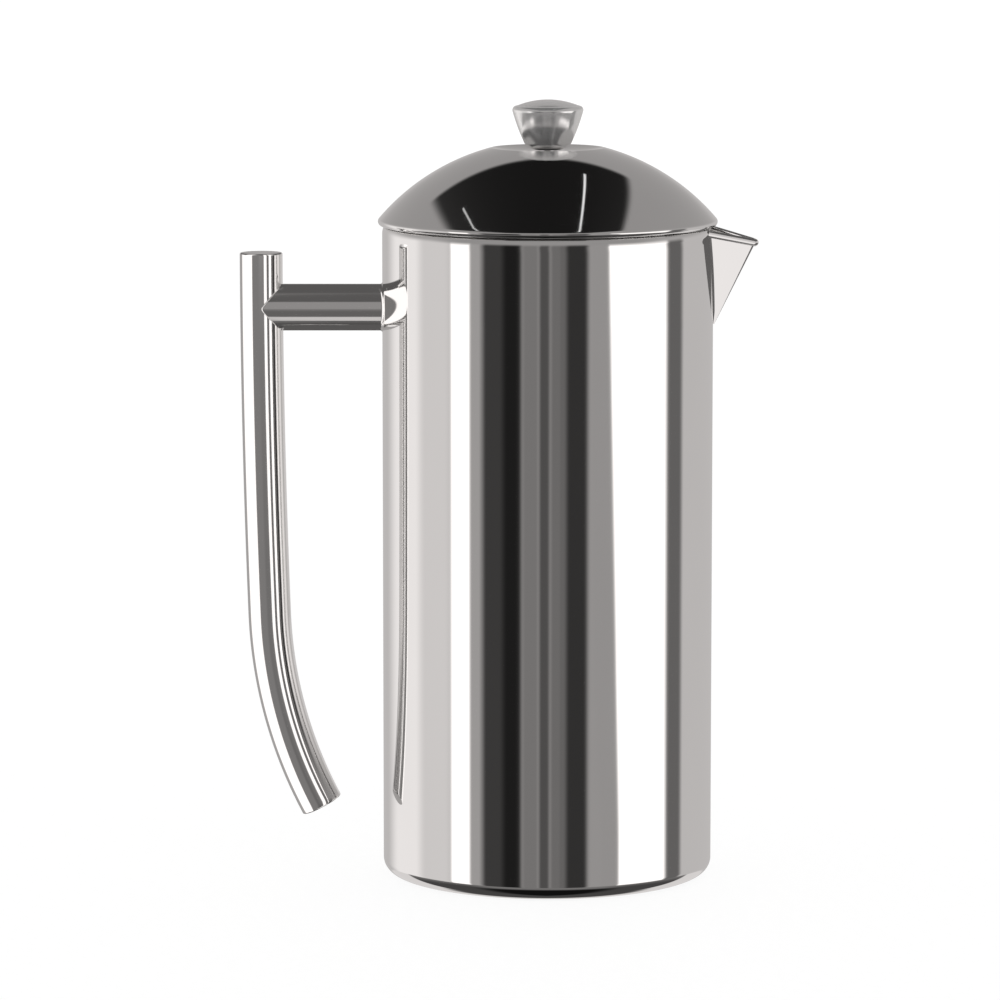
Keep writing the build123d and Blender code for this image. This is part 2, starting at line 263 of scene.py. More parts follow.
def ranged(nodes, links, factor, low, high):
    """A number that goes from low to high as factor goes from 0.3 to 0.7."""
    span = nodes.new("ShaderNodeMapRange")
    span.inputs["From Min"].default_value = 0.3
    span.inputs["From Max"].default_value = 0.7
    span.inputs["To Min"].default_value = low
    span.inputs["To Max"].default_value = high
    links.new(factor, span.inputs["Value"])
    return span.outputs["Result"]


def bumped(nodes, links, shader, height, strength, distance):
    bump = nodes.new("ShaderNodeBump")
    bump.inputs["Strength"].default_value = strength
    bump.inputs["Distance"].default_value = distance
    links.new(height, bump.inputs["Height"])
    links.new(bump.outputs["Normal"], shader.inputs["Normal"])


def polished_steel(name, smooth=0.025, hazy=0.055, ripple=0.06, metallic=1.0):
    """Mirror-polished stainless steel: faint haze where it was buffed less, and fine hairlines."""
    tint = (0.93, 0.925, 0.918)
    made, nodes, links, shader = material(name, tint, metallic, smooth)
    cloud = stretched_noise(nodes, links, 22, (1, 1, 0.35), 3)
    darker = tuple(channel * 0.965 for channel in tint)
    links.new(blended(nodes, links, cloud, darker, tint), shader.inputs["Base Color"])
    links.new(ranged(nodes, links, cloud, smooth, hazy), shader.inputs["Roughness"])
    waves = stretched_noise(nodes, links, 30, (1, 1, 0.12), 2)
    bumped(nodes, links, shader, waves, ripple, 0.02 * MM)
    return made


def satin_steel(name):
    """Steel brushed round the axis: fine level lines, soft wide highlights."""
    made, nodes, links, shader = material(name, (0.78, 0.775, 0.765), 1.0, 0.28)
    lines = stretched_noise(nodes, links, 40, (1, 1, 60), 5)
    links.new(blended(nodes, links, lines, (0.70, 0.695, 0.685), (0.82, 0.815, 0.80)),
              shader.inputs["Base Color"])
    links.new(ranged(nodes, links, lines, 0.22, 0.36), shader.inputs["Roughness"])
    bumped(nodes, links, shader, lines, 0.25, 0.03 * MM)
    return made


def pressed_steel(name):
    """Mill-finished pressed sheet, a little cloudy, with small drawing marks."""
    made, nodes, links, shader = material(name, (0.74, 0.735, 0.725), 1.0, 0.24)
    cloud = stretched_noise(nodes, links, 260, (1, 1, 1), 6)
    links.new(blended(nodes, links, cloud, (0.68, 0.675, 0.665), (0.78, 0.775, 0.765)),
              shader.inputs["Base Color"])
    links.new(ranged(nodes, links, cloud, 0.18, 0.32), shader.inputs["Roughness"])
    bumped(nodes, links, shader, cloud, 0.2, 0.02 * MM)
    return made


def spring_steel(name):
    """Drawn wire, slightly darker than the sheet, with drawing lines along it."""
    made, nodes, links, shader = material(name, (0.70, 0.69, 0.675), 1.0, 0.2)
    lines = stretched_noise(nodes, links, 900, (1, 1, 1), 3)
    links.new(blended(nodes, links, lines, (0.62, 0.61, 0.595), (0.76, 0.75, 0.735)),
              shader.inputs["Base Color"])
    links.new(ranged(nodes, links, lines, 0.15, 0.28), shader.inputs["Roughness"])
    return made


def steel_mesh(name):
    """Fine woven wire cloth: two sets of wires in the steel's own colour on top, with painted shade, near
    black, in the holes between them.
    """
    made, nodes, links, shader = material(name, (0.6, 0.59, 0.58), 1.0, 0.34)
    coordinates = nodes.new("ShaderNodeTexCoord")
    weave = []
    for direction in ("X", "Y"):
        wave = nodes.new("ShaderNodeTexWave")
        wave.bands_direction = direction
        wave.inputs["Scale"].default_value = 320
        wave.inputs["Distortion"].default_value = 0.15
        links.new(coordinates.outputs["Object"], wave.inputs["Vector"])
        weave.append(wave.outputs["Fac"])
    peak = nodes.new("ShaderNodeMath")
    peak.operation = "MAXIMUM"
    links.new(weave[0], peak.inputs[0])
    links.new(weave[1], peak.inputs[1])
    # The ramp's dark end is painted shade in the holes of the weave; its light end is the wire's own steel
    # colour.
    links.new(
        blended(nodes, links, peak.outputs["Value"], (0.12, 0.115, 0.11), (0.74, 0.73, 0.715)),
        shader.inputs["Base Color"],
    )
    links.new(ranged(nodes, links, peak.outputs["Value"], 0.5, 0.26), shader.inputs["Roughness"])
    bumped(nodes, links, shader, peak.outputs["Value"], 0.8, 0.12 * MM)
    return made


def floor_material(name):
    """Pale matt sweep with a very faint grain."""
    made, nodes, links, shader = material(name, (0.07, 0.07, 0.07), 0.0, 0.9)
    grain = stretched_noise(nodes, links, 300)
    links.new(blended(nodes, links, grain, (0.06, 0.06, 0.06), (0.08, 0.08, 0.08)),
              shader.inputs["Base Color"])
    shader.inputs["Emission Color"].default_value = (1, 1, 1, 1)
    shader.inputs["Emission Strength"].default_value = 0.925
    return made


polish = polished_steel("polished_steel")
polish_lid = polished_steel("polished_steel_lid", 0.03, 0.06, 0.05)
polish_handle = polished_steel("polished_steel_handle", 0.05, 0.09, 0.05)
polish_knob = polished_steel("polished_steel_knob", 0.13, 0.22, 0.05, metallic=0.82)
satin = satin_steel("satin_steel")
pressed = pressed_steel("pressed_steel")
wire_cloth = steel_mesh("steel_mesh")
spring_wire = spring_steel("spring_steel")


def dress(piece, look, body=None, stands_for=()):
    """Gives a piece its material and slot, and ties it to its body and CAD nodes."""
    piece.data.materials.clear()
    piece.data.materials.append(look)
    if body:
        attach(piece, body)
    if stands_for:
        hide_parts(*stands_for)
    return piece


# ---------------------------------------------------------------- pot


def sheet_inside(outline, thickness):
    """The same outline, moved by the sheet's thickness to the left of its direction."""
    moved = []
    last = len(outline) - 1
    for index, point in enumerate(outline):
        before = Vector(outline[max(0, index - 1)])
        after = Vector(outline[min(last, index + 1)])
        here = Vector(point)
        into = (here - before) if index else (after - here)
        out = (after - here) if index < last else into
        into.normalize()
        out.normalize()
        middle = (into + out).normalized()
        normal = Vector((-middle.y, middle.x))
        stretch = 1 / max(0.5, math.sqrt((1 + into.dot(out)) / 2))
        moved.append(tuple(here + normal * thickness * stretch))
    return moved


def pot_wall():
    """Outer wall from the lip under the foot to the rim, which leans in and rolls over."""
    foot = (BODY_RADIUS - FOOT_ROUNDING, FOOT_ROUNDING)
    lean = math.radians(RIM_LEAN)
    edge = (
        BODY_RADIUS - RIM_CURVE + (RIM_CURVE - RIM_EDGE) * math.cos(lean),
        RIM_TOP - RIM_EDGE,
    )
    leaning = (BODY_RADIUS - RIM_CURVE, edge[1] - (RIM_CURVE - RIM_EDGE) * math.sin(lean))
    roll = CHAMBER_RADIUS + 1.0 * MM
    outside = [(FOOT_LIP_RADIUS, FOOT_LIP_HEIGHT)]
    outside += arc((FOOT_LIP_RADIUS + 0.8 * MM, 0.8 * MM), 0.8 * MM, 180, 270, 6)
    outside += arc(foot, FOOT_ROUNDING, -90, 0, 24)
    outside += run((BODY_RADIUS, 12 * MM), (BODY_RADIUS, NOTCH_ROOT), 8)
    outside += run((BODY_RADIUS, NOTCH_ROOT + 1.5 * MM), (BODY_RADIUS, leaning[1]), 14)
    outside += arc(leaning, RIM_CURVE, 0, RIM_LEAN, 10)[1:]
    outside += arc(edge, RIM_EDGE, RIM_LEAN, 90, 8)[1:]
    outside += arc((roll, RIM_TOP - 1.0 * MM), 1.0 * MM, 90, 180, 8)
    outside.append((CHAMBER_RADIUS, BEAD_HEIGHT))
    inside = sheet_inside(outside, SHEET)
    inside[0] = (FOOT_LIP_RADIUS + SHEET, FOOT_LIP_HEIGHT)
    inside[-1] = (CHAMBER_RADIUS + SHEET, BEAD_HEIGHT)
    wall = notched_lathe("pot_wall", outside, inside)
    return dress(wall, polish, "pot", ["outer_shell"])


def pot_liner():
    """Wall and floor of the chamber."""
    centre = (CHAMBER_RADIUS - FLOOR_ROUNDING, FLOOR_HEIGHT + FLOOR_ROUNDING)
    outside = [(0.0, FLOOR_HEIGHT), (CHAMBER_RADIUS * 0.4, FLOOR_HEIGHT)]
    outside += arc(centre, FLOOR_ROUNDING, -90, 0, 16)
    outside += run((CHAMBER_RADIUS, 20 * MM), (CHAMBER_RADIUS, NOTCH_ROOT), 6)
    outside += run((CHAMBER_RADIUS, NOTCH_ROOT + 1.5 * MM), (CHAMBER_RADIUS, BEAD_HEIGHT), 12)
    inside = sheet_inside(outside, -SHEET)
    inside[0] = (0.0, FLOOR_HEIGHT - SHEET)
    return dress(notched_lathe("pot_liner", outside, inside), satin, "pot", ["inner_liner"])


def spring():
    """Close-wound coil bent into a ring round the edge of the filter."""
    ring_radius = (coil_high.x + (coil_high.x - (coil_high.z - coil_low.z))) / 2
    coil_radius = (coil_high.z - coil_low.z) / 2
    wire = 0.28 * MM
    middle = (coil_high.z + coil_low.z) / 2
    turns = 190
    per_turn = 14
    around = 6
    bm = bmesh.new()
    rows = []
    for step in range(turns * per_turn):
        along = 2 * math.pi * step / (turns * per_turn)
        wind = 2 * math.pi * step / per_turn
        outward = Vector((math.cos(along), math.sin(along), 0))
        centre = outward * (ring_radius + (coil_radius - wire) * math.cos(wind))
        centre.z = middle + (coil_radius - wire) * math.sin(wind)
        spoke = outward * math.cos(wind) + Vector((0, 0, math.sin(wind)))
        tangent = Vector((-math.sin(along), math.cos(along), 0))
        row = []
        for corner in range(around):
            angle = 2 * math.pi * corner / around
            row.append(centre + spoke * wire * math.cos(angle) + tangent * wire * math.sin(angle))
        rows.append(row)
    grid(bm, rows, close_rows=True, close_columns=True)
    return dress(mesh_object("filter_spring", bm), spring_wire, "filter", ["spring_coil"])


# ---------------------------------------------------------------- handle


GRIP_TOP_X = -88.3 * MM
GRIP_RADIUS = 6.6 * MM
GRIP_UPPER_RADIUS = 3.07
GRIP_UPPER_TURN = math.radians(2.1)
GRIP_LOWER_RADIUS = 0.14
GRIP_LOWER_TURN = math.radians(25.7)


def grip_path():
    """Centreline of the grip: almost straight at the top, then a bend towards the pot."""
    path = []
    x, z, heading = GRIP_TOP_X, grip_high.z, 0.0
    path.append((x, z))
    for radius, turn, count in (
        (GRIP_UPPER_RADIUS, GRIP_UPPER_TURN, 24),
        (GRIP_LOWER_RADIUS, GRIP_LOWER_TURN, 40),
    ):
        for step in range(count):
            first = heading
            heading += turn / count
            x += radius * (math.cos(first) - math.cos(heading))
            z -= radius * (math.sin(heading) - math.sin(first))
            path.append((x, z))
    return path


def bar(name, path, radii, around=128):
    """A round bar along points of the XZ plane. Each path point is (x, z, direction)."""
    bm = bmesh.new()
    rows = []
    for (x, z, along), radius in zip(path, radii):
        row = []
        for step in range(around):
            angle = 2 * math.pi * step / around
            across = radius * math.cos(angle)
            row.append((x - along.y * across, radius * math.sin(angle), z + along.x * across))
        rows.append(row)
    grid(bm, rows, close_columns=True)
    return mesh_object(name, bm)


def grip():
    """The grip tube with its two welded ends, whose edges are slightly rounded."""
    line = grip_path()
    top, bottom = Vector(line[0]), Vector(line[-1])
    down = (Vector(line[1]) - top).normalized()
    end_down = (bottom - Vector(line[-2])).normalized()
    edge = 0.5 * MM
    steps = 6
    path, radii = [(*top, down)], [0.0]
    for step in range(steps + 1):
        angle = math.pi / 2 * step / steps
        place = top + down * edge * (1 - math.cos(angle))
        path.append((*place, down))
        radii.append(GRIP_RADIUS - edge + edge * math.sin(angle))
    for before, here, after in zip(line, line[1:], line[2:]):
        path.append((*here, (Vector(after) - Vector(before)).normalized()))
        radii.append(GRIP_RADIUS)
    for step in range(steps + 1):
        angle = math.pi / 2 * (1 - step / steps)
        place = bottom - end_down * edge * (1 - math.cos(angle))
        path.append((*place, end_down))
        radii.append(GRIP_RADIUS - edge + edge * math.sin(angle))
    path.append((*bottom, end_down))
    radii.append(0.0)
    nodes = ["handle_grip", "grip_top_plug", "grip_end_plug"]
    made = bar("handle_tube", path, radii)
    return dress(made, polish_handle, "pot", nodes)


def arm():
    """The arm: coped round the grip with a bead of weld, and welded to the wall."""
    weld = 0.7 * MM
    bead = 0.5 * MM
    tube = 7.2 * MM
    height = (arm_high.z + arm_low.z) / 2
    drop = grip_high.z - height
    grip_x = GRIP_TOP_X + GRIP_UPPER_RADIUS - math.sqrt(GRIP_UPPER_RADIUS**2 - drop**2)
    stations = [("grip", -bead, tube - bead)]
    for step in range(1, 7):
        angle = math.pi / 2 * step / 6
        stations.append(("grip", -bead * math.cos(angle), tube - bead + bead * math.sin(angle)))
    stations += [("span", step / 12, tube) for step in range(1, 12)]
    for step in range(9):
        angle = math.pi / 2 * step / 8
        stations.append(("wall", weld * (1 - math.sin(angle)), tube + weld * (1 - math.cos(angle))))
    stations.append(("wall", -0.5 * MM, tube + weld))
    around = 160
    bm = bmesh.new()
    rows = []
    for kind, along, size in stations:
        row = []
        for step in range(around):
            angle = 2 * math.pi * step / around
            y = size * math.sin(angle)
            wall_x = -math.sqrt(BODY_RADIUS**2 - y * y)
            share = math.sin(angle) ** 2
            cope_x = grip_x + GRIP_RADIUS * math.sqrt(max(0.0, 1.012 - share))
            places = {
                "wall": wall_x - along,
                "grip": cope_x + along,
                "span": mix(cope_x, wall_x - weld, along),
            }
            row.append((places[kind], y, height + size * math.cos(angle)))
        rows.append(row)
    grid(bm, rows, close_columns=True)
    made = mesh_object("handle_arm_tube", bm)
    return dress(made, polish_handle, "pot", ["handle_arm"])


# ---------------------------------------------------------------- spout


SPOUT_ROOT = 170.3 * MM
SPOUT_BOTTOM = 171.2 * MM
SPOUT_RIDGE_SLOPE = 0.50
SPOUT_NOSE_SLOPE = 0.084
SPOUT_FLANK = math.radians(33.7)
SPOUT_INNER_RISE = 2.4 * MM
LIP_START = (48.4 * MM, 200.4 * MM)
LIP_TILT = math.radians(13.9)
LIP_WIRE = 1.15 * MM
LIP_WIRE_DROP = 0.15 * MM
LIP_HALF_WIDTH = 13.1 * MM
LIP_REACH = 17.55 * MM
LIP_NOSE = 2.4 * MM


def spout_half(height, weld):
    """Level section of the spout's near half, from the wall round to the nose.

    The weld is a concave curve of that radius between the wall and the flank.
    """
    size = height - SPOUT_ROOT
    nose = SPOUT_NOSE_SLOPE * size
    centre = BODY_RADIUS + SPOUT_RIDGE_SLOPE * size - nose
    out = Vector((math.sin(SPOUT_FLANK), -math.cos(SPOUT_FLANK)))
    back = Vector((-math.cos(SPOUT_FLANK), -math.sin(SPOUT_FLANK)))
    start = Vector((centre, 0)) + out * nose
    reach = BODY_RADIUS + weld
    middle = start + out * weld
    halfway = middle.dot(back)
    run_back = -halfway - math.sqrt(max(0.0, halfway**2 - middle.dot(middle) + reach**2))
    pivot = middle + back * run_back
    foot = start + back * run_back
    wall = pivot * (BODY_RADIUS / reach)
    half = [tuple(wall * 0.99)]
    steps = 12
    for step in range(steps + 1):
        turn = (wall - pivot).angle_signed(foot - pivot) if weld else 0
        angle = -turn * step / steps
        spoke = wall - pivot
        half.append((
            pivot.x + spoke.x * math.cos(angle) - spoke.y * math.sin(angle),
            pivot.y + spoke.x * math.sin(angle) + spoke.y * math.cos(angle),
        ))
    half += run(foot, start, 10)[1:]
    flank_turn = math.degrees(SPOUT_FLANK) - 90
    half += arc((centre, 0), nose, flank_turn, 0, 10)[1:]
    return half


def spout_sheet(rise, weld):
    """Rows of the spout's outer or inner surface, from its point up to the lip."""
    columns = len(spout_half(SPOUT_BOTTOM, 0.1 * MM))
    tops = []
    for column in range(columns):
        height = 190 * MM
        for _ in range(24):
            size = height - SPOUT_ROOT - rise
            x = spout_half(height - rise, min(weld, 0.35 * size))[column][0]
            height = LIP_START[1] - math.tan(LIP_TILT) * (x - LIP_START[0])
        tops.append(height)
    rows = []
    steps = 40
    for step in range(steps + 1):
        near = []
        for column, top in enumerate(tops):
            height = mix(SPOUT_BOTTOM + rise, top, step / steps)
            size = height - SPOUT_ROOT - rise
            x, y = spout_half(height - rise, min(weld, 0.35 * size))[column]
            near.append((x, y, height))
        far = [(x, -y, z) for x, y, z in near[:-1]]
        rows.append(near + far[::-1])
    return rows


def lip_wire(bm):
    """The wire round the lip: two straight legs and a round nose, in the tilted lip plane."""
    half_angle = math.atan2(LIP_HALF_WIDTH, LIP_REACH)
    centre = LIP_REACH - LIP_NOSE / math.sin(half_angle)
    spread = 90 - math.degrees(half_angle)
    bend = arc((centre, 0), LIP_NOSE, spread, -spread, 16)
    route = run((0, LIP_HALF_WIDTH), bend[0], 8) + bend[1:]
    route += run(bend[-1], (0, -LIP_HALF_WIDTH), 8)[1:]
    along = Vector((math.cos(LIP_TILT), 0, -math.sin(LIP_TILT)))
    up = Vector((math.sin(LIP_TILT), 0, math.cos(LIP_TILT)))
    across = Vector((0, 1, 0))
    origin = Vector((LIP_START[0], 0, LIP_START[1])) - up * LIP_WIRE_DROP
    rows = []
    last = len(route) - 1
    for index, (u, v) in enumerate(route):
        ahead = Vector(route[min(last, index + 1)]) - Vector(route[max(0, index - 1)])
        ahead.normalize()
        side = along * -ahead.y + across * ahead.x
        row = []
        for step in range(32):
            angle = 2 * math.pi * step / 32
            spoke = side * math.cos(angle) + up * math.sin(angle)
            row.append(origin + along * u + across * v + spoke * LIP_WIRE)
        rows.append(row)
    grid(bm, rows, close_columns=True)


def spout():
    """Spout sheet, welded to the wall with a concave seam, and its wired lip."""
    bm = bmesh.new()
    outer = spout_sheet(0.0, 1.7 * MM)
    inner = spout_sheet(SPOUT_INNER_RISE, 0.1 * MM)
    grid(bm, outer)
    grid(bm, inner)
    grid(bm, [outer[-1], inner[-1]])
    lip_wire(bm)
    return dress(mesh_object("pour_spout", bm), polish_handle, "pot", ["spout"])


# ---------------------------------------------------------------- lid and knob


def lid_cover():
    """Domed lid with a dished crown and a hem curled under its edge."""
    sheet = 0.8 * MM
    dome_radius = 68.25 * MM
    crown_radius = 17.2 * MM
    crown_edge = 0.35 * MM
    dish = 224.2 * MM
    dish_radius = 6.0 * MM
    edge_radius = 52.0 * MM
    hem_radius = 1.25 * MM
    hole = 4.05 * MM
    crown = dome_high.z
    rise = crown - dish
    dish_curve = ((crown_radius - dish_radius) ** 2 + rise**2) / (2 * rise)
    dish_end = math.asin((crown_radius - dish_radius - crown_edge) / dish_curve)
    centre = crown - math.sqrt(dome_radius**2 - crown_radius**2)
    shoulder = math.asin((crown_radius + crown_edge) / dome_radius)
    edge_angle = math.asin(edge_radius / dome_radius)
    outside = [(hole, dish)]
    outside += arc((dish_radius, dish + dish_curve), dish_curve, -90, -90 + math.degrees(dish_end), 16)
    start = Vector(outside[-1])
    corner = Vector((crown_radius, crown))
    finish = Vector((dome_radius * math.sin(shoulder), centre + dome_radius * math.cos(shoulder)))
    steps = 6
    for step in range(1, steps):
        share = step / steps
        point = start * (1 - share) ** 2 + corner * 2 * share * (1 - share) + finish * share**2
        outside.append(tuple(point))
    outward = 90 - math.degrees(edge_angle)
    outside += arc((0, centre), dome_radius, 90 - math.degrees(shoulder), outward, 56)
    hem_centre = (
        (dome_radius - hem_radius) * math.sin(edge_angle),
        centre + (dome_radius - hem_radius) * math.cos(edge_angle),
    )
    outside += arc(hem_centre, hem_radius, outward, -90, 20)[1:]
    inside = sheet_inside(outside, -sheet)
    made = lathe("lid_cover", outside + inside[::-1])
    return dress(made, polish_lid, "lid", ["lid_dome"])


def lid_ring():
    """Flat flange that rests on the rim."""
    inner, outer = skirt_high.x - SHEET, flange_high.x
    corners = [(inner, flange_low.z), (outer, flange_low.z), (outer, flange_high.z), (inner, flange_high.z)]
    outline = rounded(corners, [0.15 * MM] * 4, 3)
    return dress(lathe("lid_ring", outline, segments=256), satin, "lid", ["lid_flange"])


def bush():
    """Guide bush: tube with a small rounded flange in the dish of the lid."""
    bore, tube, flange = 2.55 * MM, 4.0 * MM, bush_high.x
    flange_bottom = bush_high.z - 0.5 * MM
    corners = [
        (bore, bush_low.z),
        (tube, bush_low.z),
        (tube, flange_bottom),
        (flange, flange_bottom),
        (flange, bush_high.z),
        (bore, bush_high.z),
    ]
    outline = rounded(corners, [0, 0.3 * MM, 0, 0.1 * MM, 0.2 * MM, 0.15 * MM], 4)
    return dress(lathe("rod_guide", outline, segments=128), polish, "lid_guide",
                 ["guide_bush"])


def knob():
    """Flared knob with a shallow cap."""
    bottom, top = knob_low.z, knob_high.z
    neck, base, edge, cap = 3.4 * MM, 7.2 * MM, 10.9 * MM, 9.6 * MM
    base_height, edge_height, cap_height = bottom + 2.0 * MM, bottom + 12.0 * MM, bottom + 13.5 * MM
    rise = top - cap_height
    cap_sphere = (cap * cap + rise * rise) / (2 * rise)
    cap_angle = math.degrees(math.asin(cap / cap_sphere))
    outline = [(2.5 * MM, bottom), (neck, bottom)]
    outline += bulge((neck, bottom), (base, base_height), 4.8 * MM, 12)
    outline += bulge((base, base_height), (edge, edge_height), 60 * MM, 32)
    outline += bulge((edge, edge_height), (cap, cap_height), 1.3 * MM, 14)
    outline += arc((0, top - cap_sphere), cap_sphere, 90 - cap_angle, 90, 24)[1:]
    outline[-1] = (0.0, top)
    outline += [(0.0, rod_high.z), (2.5 * MM, rod_high.z)]
    return dress(lathe("plunger_knob", outline, segments=256), polish_knob, "rod",
                 ["knob"])


def bulge(start, end, radius, count):
    """Points of the arc from start to end that bows outward, start left out."""
    first, last = Vector(start), Vector(end)
    chord = last - first
    middle = (first + last) / 2
    inward = Vector((-chord.y, chord.x)).normalized()
    centre = middle + inward * math.sqrt(radius**2 - (chord.length / 2) ** 2)
    begin = math.atan2(first.y - centre.y, first.x - centre.x)
    finish = math.atan2(last.y - centre.y, last.x - centre.x)
    if finish - begin > math.pi:
        finish -= 2 * math.pi
    if begin - finish > math.pi:
        finish += 2 * math.pi
    return arc(tuple(centre), radius, math.degrees(begin), math.degrees(finish), count)[1:]


def rod():
    """Plunger rod with a threaded lower end."""
    radius = (rod_high.x - rod_low.x) / 2
    thread = 2.0 * MM
    shoulder = rod_low.z + 8.0 * MM
    outline = [(0.0, rod_low.z), (thread - 0.3 * MM, rod_low.z), (thread, rod_low.z + 0.3 * MM)]
    height = rod_low.z + 0.6 * MM
    while height < shoulder - 0.9 * MM:
        outline += [(thread, height), (thread - 0.22 * MM, height + 0.35 * MM)]
        height += 0.7 * MM
    outline += [(thread - 0.22 * MM, shoulder), (radius - 0.3 * MM, shoulder), (radius, shoulder + 0.3 * MM)]
    outline += run((radius, shoulder + 5 * MM), (radius, rod_high.z), 6)
    outline += [(0.0, rod_high.z)]
    return dress(lathe("plunger_shaft", outline, segments=96), polish, "rod",
                 ["plunger_rod"])


pot_wall()
pot_liner()
welded_pieces = (grip(), arm(), spout())
lid_cover()
lid_ring()
bush()
knob()
rod()
spring()

for node, look, slot in (
    ("notch_sleeve", satin, "satin_steel"),
    ("base_disc", pressed, "pressed_steel"),
    ("arm_backing_plate", pressed, "pressed_steel"),
    ("lid_skirt", satin, "satin_steel"),
    ("bush_nut", pressed, "pressed_steel"),
    ("filter_hub", pressed, "pressed_steel"),
    ("filter_nut", pressed, "pressed_steel"),
    ("lock_washer", pressed, "pressed_steel"),
    ("cross_plate", pressed, "pressed_steel"),
    ("prefilter_screen", wire_cloth, "steel_mesh"),
    ("fine_screen", wire_cloth, "steel_mesh"),
    ("spiral_plate", pressed, "pressed_steel"),
):
    dress(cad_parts[node], look)


# ---------------------------------------------------------------- studio

# Cards that stand round the pot, each laid over the ones before it: left and right edge and
# softness of the edges in degrees, and grey on screen, where 255 is white. Bearings go from the camera's side
# towards the spout, and the wall behind the cards is WALL_GREY.
WALL_GREY = 190
CARDS = (
    (-140, -85, 24, 240),
    (-100, -71, 12, 210),
    (-71, -55, 2, 260),
    (-55, -46, 3, 160),
    (-46, -18, 6, 60),
    (-31, -20, 6, 30),
    (-18, -6, 5, 120),
    (-6, 1, 3, 80),
    (1, 11, 5, 110),
    (11, 28, 8, 50),
    (28, 42, 6, 150),
    (42, 91, 2, 260),
    (91, 106, 6, 100),
)

# Cards in the handle's tent, written the same way. PAST_END lies beyond the last bearing.
HANDLE_WALL_GREY = 125
PAST_END = 200
HANDLE_CARDS = (
    (-PAST_END, -49, 3, 262),
    (-PAST_END, -121, 8, 165),
    (14, 30, 2, 262),
    (30, 42, 2, 108),
    (42, 70, 2, 262),
    (70, PAST_END, 3, 205),
)
CARD_HEAD = -3.5
CARD_FOOT = -12.5
CARD_LEAN = 8.0
TUBE_HEIGHT = 2.4
CARD_BOTTOM = -22.0


def to_light(grey):
    """Radiance that shows as that grey on screen."""
    share = grey / 255
    if share > 1:
        return 1.25
    if share <= 0.04045:
        return share / 12.92
    return ((share + 0.055) / 1.055) ** 2.4


def lay_cards(grey, stack, bearing):
    """Grey of a wall of that grey behind a stack of cards, in that direction."""
    for left, right, softness, card_grey in stack:
        inside = soft_step(left, softness, bearing) * (1 - soft_step(right, softness, bearing))
        grey = mix(grey, card_grey, inside)
    return grey


def cards(bearing, elevation):
    """Grey of the standing cards in that direction. The big white card's near edge leans."""
    level = min(1.0, max(0.0, (elevation - CARD_HEAD) / (CARD_FOOT - CARD_HEAD)))
    if 28 < bearing < 91:
        bearing -= CARD_LEAN * level * soft_step(34, 12, bearing) * (1 - soft_step(80, 20, bearing))
    return lay_cards(WALL_GREY, CARDS, bearing)


def ceiling(bearing, elevation):
    """Grey above the horizon: pale walls, and a black flag overhead."""
    horizon = 60 * soft_step(75, 30, abs(bearing))
    base = 148 + horizon * math.exp(-max(0.0, elevation) / 14)
    if elevation < 20:
        return base
    across = math.sin(math.radians(bearing)) / math.tan(math.radians(elevation))
    along = -math.cos(math.radians(bearing)) / math.tan(math.radians(elevation))
    right = 0.555 - 0.087 * along
    flag = soft_step(-0.75, 0.12, across) * (1 - soft_step(right, 0.07, across))
    flag *= (1 - soft_step(0.97, 0.14, along)) * soft_step(-1.3, 0.2, along)
    return mix(base, 24 + 40 * across * across, flag)


def below(bearing, elevation):
    """Grey under the cards: the table, pale far from the pot, and dark close to it with a painted shadow of
    the pot.
    """
    depth = -elevation
    # Looking steeper down means the table closer to the pot: the dark greys there are a painted shadow of the
    # pot on the table.
    front = mix(118, 18, soft_step(38, 14, depth))
    sides = mix(112, 68, soft_step(30, 18, depth))
    grey = mix(front, sides, soft_step(52, 30, abs(bearing)))
    return mix(grey, 218, soft_step(119, 5, abs(bearing)) * (1 - soft_step(56, 12, depth)))


def studio_grey(bearing, elevation):
    """Grey that everything except the handle and the spout mirrors."""
    grey = cards(bearing, elevation)
    grey = mix(grey, ceiling(bearing, elevation), soft_step(7, 18, elevation))
    return mix(grey, below(bearing, elevation), soft_step(-CARD_BOTTOM, 3, -elevation))


def handle_grey(bearing, elevation):
    """Grey that the handle mirrors: two white cards, pale walls and a dim ceiling."""
    wall = lay_cards(HANDLE_WALL_GREY, HANDLE_CARDS, bearing)
    if bearing > 0:
        low = soft_step(14, 6, -elevation)
        wall = mix(wall, 243, low * soft_step(45, 10, bearing))
        dark = soft_step(94, 6, bearing) * (1 - soft_step(150, 10, bearing))
        wall = mix(wall, 100, dark * soft_step(9, 4, -elevation))
    if abs(bearing) > 90:
        above = soft_step(15, 6, elevation)
        behind = soft_step(165, 10, abs(bearing)) * soft_step(13, 6, -elevation)
        return mix(wall, 90, max(above, behind, soft_step(58, 14, -elevation)))
    front = mix(100, 145, soft_step(-5, 6, elevation))
    front = mix(front, 90, soft_step(32, 6, elevation))
    front = mix(front, 205, 1 - soft_step(-43, 5, elevation))
    front = mix(front, 80, 1 - soft_step(-66, 5, elevation))
    facing = math.exp(-((bearing / 13) ** 4))
    facing *= 1 - 0.6 * math.exp(-(((elevation + 8) / 5) ** 2))
    return mix(wall, front, max(facing, soft_step(75, 20, abs(elevation))))


